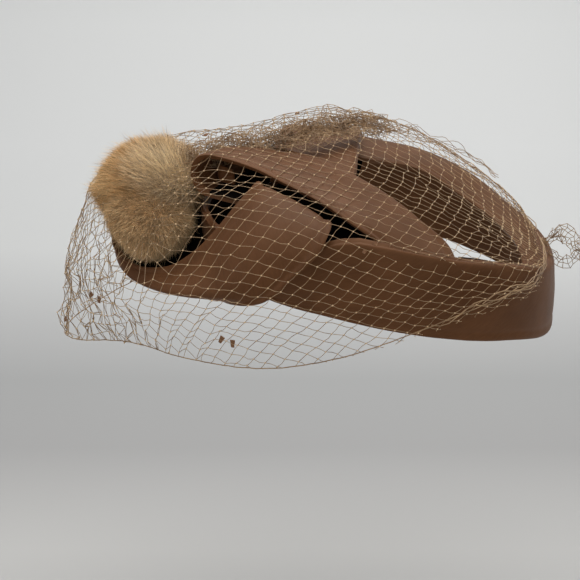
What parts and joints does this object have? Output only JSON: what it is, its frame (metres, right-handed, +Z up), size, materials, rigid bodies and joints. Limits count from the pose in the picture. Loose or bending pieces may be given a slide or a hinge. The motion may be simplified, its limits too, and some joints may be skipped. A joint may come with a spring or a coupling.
{
  "type": "fascinator",
  "caption": "Open-crown satin fascinator with a deep band rim, crossing straps, a front scoop loop holding a fur pompom, and a fishnet veil gathered at the back.",
  "frame": {"origin": "the seat on the wearer's head: on the plane of the head opening, at the middle of the rim's oval", "axes": "+Z up as worn, +X towards the wearer's left, -Y towards the wearer's face, so the gather of the veil is at +Y"},
  "size_m": [0.2037, 0.2837, 0.1162],
  "materials": {
    "satin": "brown satin ribbon with a fine diagonal rib",
    "lining": "dark brown grosgrain",
    "black_cloth": "matt black stiffened cloth",
    "fur": "tan and golden brown fur",
    "net": "golden tan diamond fishnet"
  },
  "bodies": {
    "root": {"rim_band": "satin", "inner_band": "lining", "diagonal_strap": "satin", "cross_strap": "satin", "scoop_loop": "satin", "inner_loop": "satin", "front_foundation": "black_cloth", "fur_upper_lobe": "fur", "fur_lower_lobe": "fur", "veil": "net", "veil_gather": "net"}
  },
  "joints": []
}
